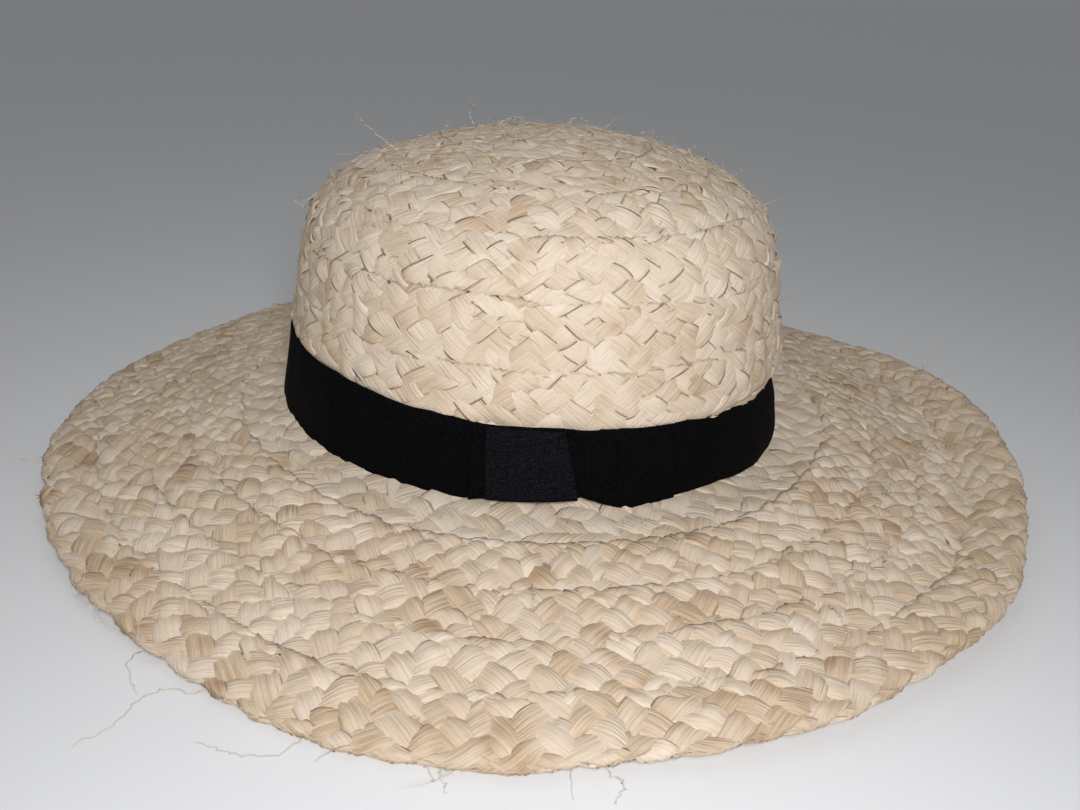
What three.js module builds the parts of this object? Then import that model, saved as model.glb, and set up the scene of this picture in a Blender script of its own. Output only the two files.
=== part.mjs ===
import * as THREE from 'three';
import { mergeVertices } from 'three/addons/utils/BufferGeometryUtils.js';

// A wide-brim straw hat that lies on its brim, sewn from rows of braided straw.
// Millimetres, +Z up, +X to the right of someone who faces the hat's front, -Y to the front.
// The origin is on the floor in the middle of the hat's footprint.

// Plan of the head opening and the brim
const BAND_ACROSS = 207.8;
const BAND_DEEP = 180.8;
const BRIM_WIDTH = 93.5;
const RIM_SHIFT_SIDE = 2.5;
const RIM_SHIFT_FRONT = 0.9;

// Heights of the crown's foot, the crown and the rim
const SEAT_HEIGHT = 15.8;
const SEAT_TILT_LEFT = 1.6;
const SEAT_TILT_BACK = 1.8;
const CROWN_HEIGHT = 109.5;
const CROWN_LEAN = 0.5;
const DENT_DEPTH = 3;
const RIM_RISE = 12.8;
const BRIM_DIP = 8;

// Straw wall and the rows that it is sewn from
const STRAW_WALL = 1.8;
const ROW_RIB = 0.9;
const CROWN_ROW_PITCH = 21.8;
const CROWN_FIRST_SEAM = 5;
const BRIM_ROWS = 5;
const TIP_FLAT_RADIUS = 15;

// Ribbon band, the lap over its front and the keeper round the lap
const RIBBON_THICKNESS = 1;
const RIBBON_HEIGHT = 29.5;
const LAP_ANGLE = 259;
const LAP_LENGTH = 69;
const KEEPER_ANGLE = 261.3;
const KEEPER_WIDTH = 27.5;

// Space between pieces that touch, and how finely round forms are divided
const CLEARANCE = 0.3;
const CROWN_SIDES = 72;
const BRIM_SIDES = 96;
const CROWN_INNER_STEPS = 12;
const ARC_STEP = 5;

// Half-section of the crown from foot to tip.
// radius: share of the radius at the foot; height: share of CROWN_HEIGHT
const CROWN_SECTIONS = [
  { radius: 1.0, height: 0.0 },
  { radius: 1.0, height: 0.14 },
  { radius: 0.988, height: 0.28 },
  { radius: 0.958, height: 0.42 },
  { radius: 0.925, height: 0.6 },
  { radius: 0.858, height: 0.76 },
  { radius: 0.72, height: 0.87 },
  { radius: 0.46, height: 0.95 },
  { radius: 0.2, height: 0.987 },
  { radius: 0.0, height: 1.0 },
];

// Soft dents and bulges of the crown's wall.
// angle and turn: middle and half-width in degrees; height and spread: shares of CROWN_HEIGHT;
// push: share of DENT_DEPTH, outward where positive
const CROWN_DENTS = [
  { angle: 172, turn: 30, height: 0.8, spread: 0.16, push: 0.9 },
  { angle: 12, turn: 28, height: 0.52, spread: 0.13, push: -0.7 },
  { angle: 238, turn: 20, height: 0.86, spread: 0.12, push: -0.5 },
  { angle: 310, turn: 22, height: 0.64, spread: 0.12, push: 0.4 },
];

// Sections round the brim, at even steps from the +X side by way of the back.
// edge: height of the rim as a share of RIM_RISE; dip: hollow before the rim, share of BRIM_DIP
const BRIM_SECTIONS = [
  { edge: 1.0, dip: 1.0 },
  { edge: 0.74, dip: 0.8 },
  { edge: 0.06, dip: 0.2 },
  { edge: 0.04, dip: 0.0 },
  { edge: 0.16, dip: 0.0 },
  { edge: 0.12, dip: 0.0 },
  { edge: 0.06, dip: 0.0 },
  { edge: 0.03, dip: 0.1 },
  { edge: 0.29, dip: 0.2 },
  { edge: 0.49, dip: 0.1 },
  { edge: 0.28, dip: 0.0 },
  { edge: 0.02, dip: 0.0 },
  { edge: 0.11, dip: 0.0 },
  { edge: 0.38, dip: 0.1 },
  { edge: 0.55, dip: 0.4 },
  { edge: 0.77, dip: 0.8 },
];

// Cross-section of one sewn row, from its edge nearer the tip, which laps over the row before.
// across: share of the row's width; rise: share of ROW_RIB
const ROW_SECTION = [
  { across: 0, rise: 0 },
  { across: 0.12, rise: 1 },
  { across: 0.56, rise: 0.5 },
];

// The hollow of a turned-up brim lies nearer the rim than the crown
const DIP_PLACE = 2.1;

// Share of the crown's height above which its tip lies level
const LEVEL_SHARE = 0.95;

// Roundness of the curve through the brim's sections, and how near corners are one corner
const CURVE_TENSION = 0.5;
const SAME_CORNER = 0.0001;

// Round measures that the oval plan is made from
const BAND_RADIUS = (BAND_ACROSS + BAND_DEEP) / 4;
const OVAL_SPREAD = (BAND_ACROSS - BAND_DEEP) / 4;
const CROWN_RADIUS = BAND_RADIUS - RIBBON_THICKNESS - CLEARANCE - ROW_RIB;
const LAYER = RIBBON_THICKNESS + CLEARANCE;
const RIBBON_LIFT = LAYER + CLEARANCE;
const KEEPER_RADIUS = BAND_RADIUS + 2 * LAYER;
const INNER_RADIUS = CROWN_RADIUS - STRAW_WALL;

const strawMaterial = new THREE.MeshStandardMaterial({ color: 0xd6c3a6, roughness: 0.72, metalness: 0 });
const ribbonMaterial = new THREE.MeshStandardMaterial({ color: 0x141318, roughness: 0.85, metalness: 0 });
const keeperMaterial = new THREE.MeshStandardMaterial({ color: 0x1b1a20, roughness: 0.8, metalness: 0 });

// Plan position of a point of the round pattern once the hat is made oval
function ovalPoint(angle, radius) {
  const spread = OVAL_SPREAD * Math.min(radius / BAND_RADIUS, 1);
  const x = (radius + spread) * Math.cos(angle);
  const y = (radius - spread) * Math.sin(angle);
  return new THREE.Vector2(x, y);
}

// The plane that the crown stands on is a little higher at the left and the back
function seatTilt(angle) {
  return SEAT_TILT_BACK * Math.sin(angle) - SEAT_TILT_LEFT * Math.cos(angle);
}

function dentPush(angle, share) {
  let push = 0;
  for (const dent of CROWN_DENTS) {
    const middle = THREE.MathUtils.degToRad(dent.angle);
    const turn = Math.atan2(Math.sin(angle - middle), Math.cos(angle - middle));
    const around = turn / THREE.MathUtils.degToRad(dent.turn);
    const upward = (share - dent.height) / dent.spread;
    push += dent.push * Math.exp(-around * around - upward * upward);
  }
  return push * DENT_DEPTH;
}

// Place of a crown or ribbon point: angle, radius and height of the round pattern
function crownPoint(angle, radius, height) {
  const share = THREE.MathUtils.clamp(height / CROWN_HEIGHT, 0, 1);
  const plan = ovalPoint(angle, radius + dentPush(angle, share) * Math.min(radius / CROWN_RADIUS, 1));
  const foot = SEAT_HEIGHT + STRAW_WALL + CLEARANCE;
  const x = plan.x - RIM_SHIFT_SIDE + CROWN_LEAN * share;
  const y = plan.y + RIM_SHIFT_FRONT;
  const settle = seatTilt(angle) * Math.max(1 - share / LEVEL_SHARE, 0);
  return new THREE.Vector3(x, y, foot + settle + height);
}

const brimCurve = new THREE.CatmullRomCurve3(
  BRIM_SECTIONS.map((row) => new THREE.Vector3(row.edge * RIM_RISE, row.dip * BRIM_DIP, 0)),
  true,
  'catmullrom',
  CURVE_TENSION,
);

// Place of a brim point: angle, radius of the round pattern and level above the underside
function brimPoint(angle, radius, level) {
  const share = THREE.MathUtils.clamp((radius - BAND_RADIUS) / BRIM_WIDTH, 0, 1);
  const turn = THREE.MathUtils.euclideanModulo(angle / (2 * Math.PI), 1);
  const section = brimCurve.getPoint(turn);
  const seat = SEAT_HEIGHT + seatTilt(angle);
  const hollow = section.y * Math.sin(Math.PI * share ** DIP_PLACE);
  const plan = ovalPoint(angle, radius);
  const x = plan.x - RIM_SHIFT_SIDE * (1 - share);
  const y = plan.y + RIM_SHIFT_FRONT * (1 - share);
  return new THREE.Vector3(x, y, THREE.MathUtils.lerp(seat, section.x, share) - hollow + level);
}

// Moves every vertex of a round pattern to its place on the hat
function shapeRound(geometry, place) {
  const points = geometry.attributes.position;
  for (let i = 0; i < points.count; i += 1) {
    const angle = Math.atan2(points.getY(i), points.getX(i));
    const radius = Math.hypot(points.getX(i), points.getY(i));
    const moved = place(angle, radius, points.getZ(i));
    points.setXYZ(i, moved.x, moved.y, moved.z);
  }
  return geometry;
}

// One closed body: shared corners merged, triangles without area left out
function closedBody(geometry) {
  geometry.deleteAttribute('normal');
  geometry.deleteAttribute('uv');
  const merged = mergeVertices(geometry, SAME_CORNER);
  const corners = merged.index.array;
  const kept = [];
  for (let i = 0; i < corners.length; i += 3) {
    const [a, b, c] = corners.slice(i, i + 3);
    if (a !== b && b !== c && c !== a) kept.push(a, b, c);
  }
  merged.setIndex(kept);
  merged.computeVertexNormals();
  return merged;
}

function turned(profile, sides) {
  return new THREE.LatheGeometry(profile, sides).rotateX(Math.PI / 2);
}

function namedMesh(name, geometry, material) {
  const mesh = new THREE.Mesh(closedBody(geometry), material);
  mesh.name = name;
  return mesh;
}

// Shares of a run at which the corners of its rows lie, with the rise there; each row starts
// one pitch after the row before, and the last is cut short at the run's end
function rowStations(length, first, pitch, section) {
  const stations = [{ at: 0, rise: section[0].rise }];
  for (let start = first; start < length; start += pitch) {
    const width = Math.min(pitch, length - start);
    for (const corner of section) {
      stations.push({ at: (start + corner.across * width) / length, rise: corner.rise });
    }
  }
  return stations;
}

// The same row met from the other side, as a run that climbs to the tip meets it
function climbingRow() {
  return ROW_SECTION
    .map(({ across, rise }) => ({ across: (1 - across) % 1, rise }))
    .sort((one, other) => one.across - other.across);
}

// Crown: domed tip and side wall, hollow and open below
function crown() {
  const corners = CROWN_SECTIONS.map(
    (row) => new THREE.Vector2(row.radius * CROWN_RADIUS, row.height * CROWN_HEIGHT),
  );
  const wall = new THREE.SplineCurve(corners);
  const surface = (share, out) => {
    const point = wall.getPointAt(share);
    const along = wall.getTangentAt(share);
    return point.add(new THREE.Vector2(along.y, -along.x).multiplyScalar(out));
  };
  const inner = [];
  for (let i = 0; i < CROWN_INNER_STEPS; i += 1) {
    const point = surface(i / CROWN_INNER_STEPS, -STRAW_WALL);
    if (point.x > TIP_FLAT_RADIUS) inner.unshift(point);
  }
  const tipLevel = CROWN_HEIGHT - STRAW_WALL - ROW_RIB;
  inner.unshift(new THREE.Vector2(0, tipLevel), new THREE.Vector2(TIP_FLAT_RADIUS, tipLevel));
  const outer = rowStations(wall.getLength(), CROWN_FIRST_SEAM, CROWN_ROW_PITCH, climbingRow())
    .map((station) => surface(station.at, station.rise * ROW_RIB));
  const tip = new THREE.Vector2(0, CROWN_HEIGHT + ROW_RIB);
  const shell = turned([...inner, ...outer, tip], CROWN_SIDES);
  return namedMesh('crown', shapeRound(shell, crownPoint), strawMaterial);
}

// Brim: sewn rows between the crown's foot and the rim
function brim() {
  const rimRadius = BAND_RADIUS + BRIM_WIDTH;
  const flatEnd = KEEPER_RADIUS + CLEARANCE;
  const rowWidth = BRIM_WIDTH / BRIM_ROWS;
  const top = rowStations(BRIM_WIDTH, rowWidth, rowWidth, ROW_SECTION)
    .map(({ at, rise }) => new THREE.Vector2(BAND_RADIUS + at * BRIM_WIDTH, STRAW_WALL + rise * ROW_RIB))
    .filter((point) => point.x > flatEnd)
    .reverse();
  const underside = [];
  for (let row = 1; row < BRIM_ROWS; row += 1) {
    underside.push(new THREE.Vector2(BAND_RADIUS + row * rowWidth, 0));
  }
  const profile = [
    new THREE.Vector2(INNER_RADIUS, 0),
    new THREE.Vector2(BAND_RADIUS, 0),
    ...underside,
    new THREE.Vector2(rimRadius - STRAW_WALL / 2, 0),
    new THREE.Vector2(rimRadius, STRAW_WALL / 2),
    new THREE.Vector2(rimRadius - STRAW_WALL / 2, STRAW_WALL),
    ...top,
    new THREE.Vector2(flatEnd, STRAW_WALL),
    new THREE.Vector2(INNER_RADIUS, STRAW_WALL),
    new THREE.Vector2(INNER_RADIUS, 0),
  ];
  return namedMesh('brim', shapeRound(turned(profile, BRIM_SIDES), brimPoint), strawMaterial);
}

// Ribbon band right round the crown's foot
function hatBand() {
  const inner = BAND_RADIUS - RIBBON_THICKNESS;
  const top = RIBBON_LIFT + RIBBON_HEIGHT;
  const profile = [
    new THREE.Vector2(inner, RIBBON_LIFT),
    new THREE.Vector2(BAND_RADIUS, RIBBON_LIFT),
    new THREE.Vector2(BAND_RADIUS, top),
    new THREE.Vector2(inner, top),
    new THREE.Vector2(inner, RIBBON_LIFT),
  ];
  return namedMesh('hat_band', shapeRound(turned(profile, CROWN_SIDES), crownPoint), ribbonMaterial);
}

// A section of radius and height drawn out round the crown, from an angle in degrees
function bentRound(section, fromAngle, length) {
  const shape = new THREE.Shape(section);
  const steps = Math.ceil(length / ARC_STEP);
  const geometry = new THREE.ExtrudeGeometry(shape, { depth: length, steps, bevelEnabled: false });
  const endAngle = THREE.MathUtils.degToRad(fromAngle) + length / BAND_RADIUS;
  const points = geometry.attributes.position;
  for (let i = 0; i < points.count; i += 1) {
    const angle = endAngle - points.getZ(i) / BAND_RADIUS;
    const moved = crownPoint(angle, points.getX(i), points.getY(i));
    points.setXYZ(i, moved.x, moved.y, moved.z);
  }
  return geometry;
}

// Second layer of ribbon over the front of the band
function ribbonLap() {
  const inner = BAND_RADIUS + CLEARANCE;
  const outer = inner + RIBBON_THICKNESS;
  const top = RIBBON_LIFT + RIBBON_HEIGHT;
  const section = [
    new THREE.Vector2(inner, RIBBON_LIFT),
    new THREE.Vector2(outer, RIBBON_LIFT),
    new THREE.Vector2(outer, top),
    new THREE.Vector2(inner, top),
  ];
  return namedMesh('ribbon_lap', bentRound(section, LAP_ANGLE, LAP_LENGTH), ribbonMaterial);
}

// Keeper: ribbon wrapped over the lap and round its upper and lower edges
function bandKeeper() {
  const back = BAND_RADIUS + CLEARANCE;
  const inside = back + LAYER;
  const outside = inside + RIBBON_THICKNESS;
  const lowest = RIBBON_LIFT - LAYER;
  const highest = RIBBON_LIFT + RIBBON_HEIGHT + LAYER;
  const section = [
    new THREE.Vector2(back, lowest),
    new THREE.Vector2(outside, lowest),
    new THREE.Vector2(outside, highest),
    new THREE.Vector2(back, highest),
    new THREE.Vector2(back, highest - RIBBON_THICKNESS),
    new THREE.Vector2(inside, highest - RIBBON_THICKNESS),
    new THREE.Vector2(inside, lowest + RIBBON_THICKNESS),
    new THREE.Vector2(back, lowest + RIBBON_THICKNESS),
  ];
  return namedMesh('band_keeper', bentRound(section, KEEPER_ANGLE, KEEPER_WIDTH), keeperMaterial);
}

const hat = new THREE.Group();
hat.add(crown(), brim(), hatBand(), ribbonLap(), bandKeeper());

// The hat stands with its lowest point on the floor, over the middle of its footprint
const box = new THREE.Box3().setFromObject(hat);
const middle = box.getCenter(new THREE.Vector3());
hat.position.set(-middle.x, -middle.y, -box.min.z);

export default hat;
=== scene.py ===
import math
from collections import namedtuple

import bmesh
import bpy
import numpy as np
from mathutils import Matrix, Vector


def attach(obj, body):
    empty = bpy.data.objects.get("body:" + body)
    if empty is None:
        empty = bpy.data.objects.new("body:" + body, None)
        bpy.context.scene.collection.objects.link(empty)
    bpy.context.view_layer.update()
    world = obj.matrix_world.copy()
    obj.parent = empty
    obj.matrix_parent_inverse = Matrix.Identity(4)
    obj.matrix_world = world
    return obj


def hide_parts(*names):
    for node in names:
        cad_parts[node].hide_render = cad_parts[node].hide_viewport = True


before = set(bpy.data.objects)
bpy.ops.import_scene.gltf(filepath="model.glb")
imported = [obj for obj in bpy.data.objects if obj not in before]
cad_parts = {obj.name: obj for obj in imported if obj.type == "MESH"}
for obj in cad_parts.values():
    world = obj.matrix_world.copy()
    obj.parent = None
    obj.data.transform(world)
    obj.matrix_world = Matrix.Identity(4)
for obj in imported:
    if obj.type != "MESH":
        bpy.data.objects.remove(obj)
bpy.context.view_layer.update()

# Form of the hat in metres, with the same sizes and tables as its solids
BAND_ACROSS = 0.2078
BAND_DEEP = 0.1808
BRIM_WIDTH = 0.0935
RIM_SHIFT_SIDE = 0.0025
RIM_SHIFT_FRONT = 0.0009
SEAT_HEIGHT = 0.0158
SEAT_TILT_LEFT = 0.0016
SEAT_TILT_BACK = 0.0018
CROWN_HEIGHT = 0.1095
CROWN_LEAN = 0.0005
DENT_DEPTH = 0.003
RIM_RISE = 0.0128
BRIM_DIP = 0.008
DIP_PLACE = 2.1
LEVEL_SHARE = 0.95
STRAW_WALL = 0.0018
CLEARANCE = 0.0003
CROWN_RADIUS = 0.09495

# Ribbon, and where its lap and keeper lie
RIBBON_THICKNESS = 0.001
RIBBON_HEIGHT = 0.0295
LAP_ANGLE = 259.0
LAP_LENGTH = 0.069
KEEPER_ANGLE = 261.3
KEEPER_WIDTH = 0.0275

BAND_RADIUS = (BAND_ACROSS + BAND_DEEP) / 4
OVAL_SPREAD = (BAND_ACROSS - BAND_DEEP) / 4
LAYER = RIBBON_THICKNESS + CLEARANCE
RIBBON_LIFT = LAYER + CLEARANCE

# Half-section of the crown from foot to tip: shares of the radius and of the height
CROWN_SECTIONS = [
    (1.0, 0.0),
    (1.0, 0.14),
    (0.988, 0.28),
    (0.958, 0.42),
    (0.925, 0.6),
    (0.858, 0.76),
    (0.72, 0.87),
    (0.46, 0.95),
    (0.2, 0.987),
    (0.0, 1.0),
]

# Dents of the crown: middle and half-width in degrees, height and spread as shares, push
CROWN_DENTS = [
    (172, 30, 0.8, 0.16, 0.9),
    (12, 28, 0.52, 0.13, -0.7),
    (238, 20, 0.86, 0.12, -0.5),
    (310, 22, 0.64, 0.12, 0.4),
]

# Sections round the brim from the +X side by way of the back: rim's height and dip, as shares
BRIM_SECTIONS = [
    (1.0, 1.0),
    (0.74, 0.8),
    (0.06, 0.2),
    (0.04, 0.0),
    (0.16, 0.0),
    (0.12, 0.0),
    (0.06, 0.0),
    (0.03, 0.1),
    (0.29, 0.2),
    (0.49, 0.1),
    (0.28, 0.0),
    (0.02, 0.0),
    (0.11, 0.0),
    (0.38, 0.1),
    (0.55, 0.4),
    (0.77, 0.8),
]

# How far the woven rim strays from the plain one: angle in degrees, outward and upward in mm
RIM_STRAYS = [
    (0, -2.0, 0.0),
    (12, -1.2, 0.0),
    (20, -2.2, -0.6),
    (30, -4.5, -1.8),
    (40, -4.0, -1.2),
    (60, -3.0, 0.0),
    (90, -3.0, 0.0),
    (120, -4.0, 0.0),
    (138, -6.0, -0.6),
    (162, -5.5, -0.6),
    (172, -3.8, -0.3),
    (184, -3.5, 0.0),
    (196, -2.4, 0.0),
    (210, -1.2, 0.0),
    (222, -0.2, 0.0),
    (234, -1.0, 0.0),
    (240, -1.6, 0.0),
    (246, 0.2, 0.0),
    (252, 1.7, 0.0),
    (258, 2.8, 0.0),
    (267, 4.2, 0.0),
    (272, 3.6, 0.0),
    (277, 1.2, 0.0),
    (288, -0.4, 0.0),
    (294, 1.2, 0.0),
    (303, 0.6, 0.0),
    (318, 1.6, 0.0),
    (325, 0.2, 0.0),
    (331, -1.9, 0.0),
    (348, -2.0, 0.0),
]

# How sharply the strays grow towards the rim, and the least height of the woven brim
STRAY_GROWTH = 3
FLOOR_GAP = 0.0001

# The groove where the outer row turns up at the hat's right: depth, share of the width, angle
GROOVE_DEPTH = 0.0028
GROOVE_SHARE = 0.79
GROOVE_SPREAD = 0.05
GROOVE_ANGLE = 352.0
GROOVE_TURN = 30.0

# The plait: five strands that cross over one and under one
STRANDS = 5
STEPS_PER_PERIOD = 50
CROSSING = 0.5

# How the strands of a row lie: their thickness, their breadth against their spacing, their tone
# from pale to dark, how much higher the row's first edge lies than its last, how sharply they
# fold at the row's edges, and how far the folds stand out there
Habit = namedtuple("Habit", "thickness fullness tone lap_lift folds scallop")

# Rows of the crown: where they lie, how broad they are and how their strands lie
CROWN_ROW_PITCH = 0.0218
CROWN_FIRST_SEAM = 0.005
CROWN_TIP_GAP = 0.001
CROWN_ROW_WIDTH = 0.0240
CROWN_SPACING = 0.0126
CROWN_SINK = -0.0009
CROWN_HABIT = Habit(
    thickness=0.0012, fullness=1.32, tone=0.40, lap_lift=0.0004, folds=0.98, scallop=0.0008
)

# The woven crown slumps at its top, more so to the left, between two distances up its wall
TOP_SLUMP = 0.0019
LEFT_SLUMP = 0.0012
SLUMP_STEP = (0.06, 0.095)

# How far the band presses the straw in, how far the straw swells out just above it, and between
# which distances up the wall the swell dies away
RIBBON_SQUEEZE = 0.0012
SIDE_SQUEEZE = 0.0018
RIGHT_SQUEEZE = 0.0010
SWELL = 0.0008
FRONT_SWELL = 0.0014
SWELL_STEP = (0.062, 0.036)

# Where the straw comes free, over the band's upper edge: everywhere, more at the two sides, more
# at the right
FREE_START = (-0.006, 0.005, 0.001)
FREE_END = (-0.001, 0.003, 0.008)

# Half of the step from the hat's left to its right, as a cosine
RIGHT_STEP = 0.3

# Brim rows: inner edge and width as shares of BRIM_WIDTH, the strands' spacing in metres, then
# the folds and the scallop of their habit
BRIM_ROWS = [
    (0.214, 0.230, 0.0110, 0.93, 0.0016),
    (0.424, 0.218, 0.0116, 0.93, 0.0016),
    (0.616, 0.216, 0.0122, 0.91, 0.0018),
    (0.806, 0.188, 0.0128, 0.80, 0.0018),
]
BRIM_STRAND_THICKNESS = 0.0032
BRIM_FULLNESS = 1.26
BRIM_TONE = 0.54
BRIM_LAP_LIFT = 0.0007
BRIM_LEVEL = 0.0022

# The row that bends from the crown's wall out onto the brim. Its steps are the distances down it
# where the band's squeeze ends, and the radii where it rises to its end level
BEND_DROP = 0.0045
BEND_RADIUS = 0.004
BEND_LEVEL = 0.0013
BEND_END_LEVEL = 0.0020
BEND_WIDTH = 0.0290
BEND_SPACING = 0.0118
BEND_SQUEEZE_STEP = (0.002, 0.012)
BEND_LEVEL_STEP = (0.104, 0.118)
BEND_HABIT = Habit(
    thickness=0.0022, fullness=1.26, tone=0.36, lap_lift=0.0004, folds=0.96, scallop=0.0014
)

# Where the straw round the band's foot lies lower: how far, at what angle and how far round
FOOT_DIP = 0.0030
FOOT_DIP_ANGLE = 330.0
FOOT_DIP_TURN = 24.0

# The band leans in against the crown at its sides: how far its edges lie from the plain oval
FOOT_SPREAD_LEFT = 0.0022
FOOT_SPREAD_RIGHT = 0.0003
FOOT_FLARE = 0.0008
TOP_TUCK_LEFT = 0.0033
TOP_TUCK_RIGHT = 0.0088

# How far the band's edges lie from their mean heights: angle in degrees, lower and upper in mm
BAND_EDGES = [
    (0, -3.0, -6.0),
    (30, -0.3, -1.0),
    (200, -1.2, 0.6),
    (226, -1.9, 1.2),
    (244, -1.4, -0.6),
    (250, -1.3, -0.3),
    (258, -1.1, -1.3),
    (261, 0.8, -1.6),
    (276, 3.1, -1.0),
    (280, 3.7, -1.8),
    (284, 0.6, -1.9),
    (289, -2.0, -1.9),
    (294, -1.4, -2.2),
    (302, -0.9, -2.4),
    (308, -0.8, -3.8),
    (316, -1.9, -3.9),
    (328, -4.0, -6.6),
    (345, -4.0, -8.0),
]

# How far the keeper's left and right edges lean from upright, in degrees, at top and bottom
KEEPER_LEFT = (0.3, 1.0)
KEEPER_RIGHT = (-1.0, 1.8)

# How far the keeper's edges lie in from the ribbon's, how far its lower edge rises over how many
# degrees, and how far the lap's edges stand out from the band's
KEEPER_MARGIN = 0.0011
KEEPER_SLANT = 0.0016
KEEPER_TURN = 16
LAP_SPARE = 0.0002

# Small waves of the ribbons' edges: amount, waves in a turn and phase, and their size in metres
EDGE_WAVES = [(1.0, 23, 1.2), (1.0, 37, 0.0), (0.6, 61, 2.0)]
LOWER_WAVE = 0.00012
UPPER_WAVE = 0.0001

# Points of the ribbons, and how they buckle: lines along them, waves in a turn, and how far
RIBBON_ROWS = 18
BAND_STEPS = 720
LAP_STEPS = 120
KEEPER_STEPS = 60
BUCKLE_LINES = 4
BUCKLE_WAVES = 26
RIBBON_BUCKLE = 0.00016

# Unevenness of the plait: how much, and the length of its waves round the row in metres
ROW_WANDER = (0.0003, 0.16)
ROW_HEAVE = (0.00018, 0.09)
STRAND_BREADTH = (0.08, 0.022)
STRAND_WANDER = (0.0004, 0.024)
STRAND_RIDGES = (0.25, 0.03)
STRAND_ROLL = (0.08, 0.016)
BROAD_TINT = (0.13, 0.05)
CLOSE_TINT = (0.08, 0.014)
PATCH_WAVES = (1, 0.03)

# How much the strands differ in tint, and how much darker they are where the patches' waves
# pass the step
STRAND_TINT = 0.09
PATCH_TINT = 0.30
PATCH_STEP = (1.5, 2.4)

# How far the crossings stray, in periods, and their waves in a period; the thickness in a fold
CROSSING_STRAY = 0.009
CROSSING_WAVES = 1.3
FOLD_THICKNESS = 0.4

# Fuzz: number of fibres, usual length and lift off the straw, radius and first height in metres
CROWN_FUZZ = 900
BRIM_FUZZ = 1300
FUZZ_REACH = 0.006
CROWN_FUZZ_RISE = 0.0012
BRIM_FUZZ_RISE = 0.0009
FUZZ_RADIUS = 0.00010
FUZZ_START = 0.0012

# Where the fuzz grows: its first distance up the crown, the length left bare there in all, the
# crowding towards the tip, which is more the further below 1, and the gap left round the band
CROWN_FUZZ_FOOT = 0.036
CROWN_FUZZ_SPARE = 0.046
CROWN_FUZZ_CROWDING = 0.8
BRIM_FUZZ_GAP = 0.011

# Steps along a fibre of fuzz, its curl and the curve of its lift, the least radius that it turns
# round, how lengths, lifts and radii are spread, and the tints
FUZZ_STEPS = 5
FUZZ_CURL = 1.4
FUZZ_LIFT = 1.5
FUZZ_LEAST_TURN = 0.01
REACH_SPREAD = 0.45
RISE_SHAPE = 1.2
SIZE_SPREAD = 0.3
FUZZ_TINT = 0.1
FUZZ_TINT_SPREAD = 0.5
PALE_SHARE = 0.85

# Single threads: points along and round them, radius, taper, and how they waver and lie
THREAD_RINGS = 28
THREAD_SIDES = 3
THREAD_RADIUS = 0.00020
THREAD_TAPER = 0.75
THREAD_LENGTH = 0.02
THREAD_WAVER = 0.0004
THREAD_FLATNESS = 0.4
THREAD_FLOOR = 0.0004
THREAD_TINT = 0.1
DARK_THREAD_RADIUS = 0.00012
DARK_THREAD_TINT = 1.3

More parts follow.
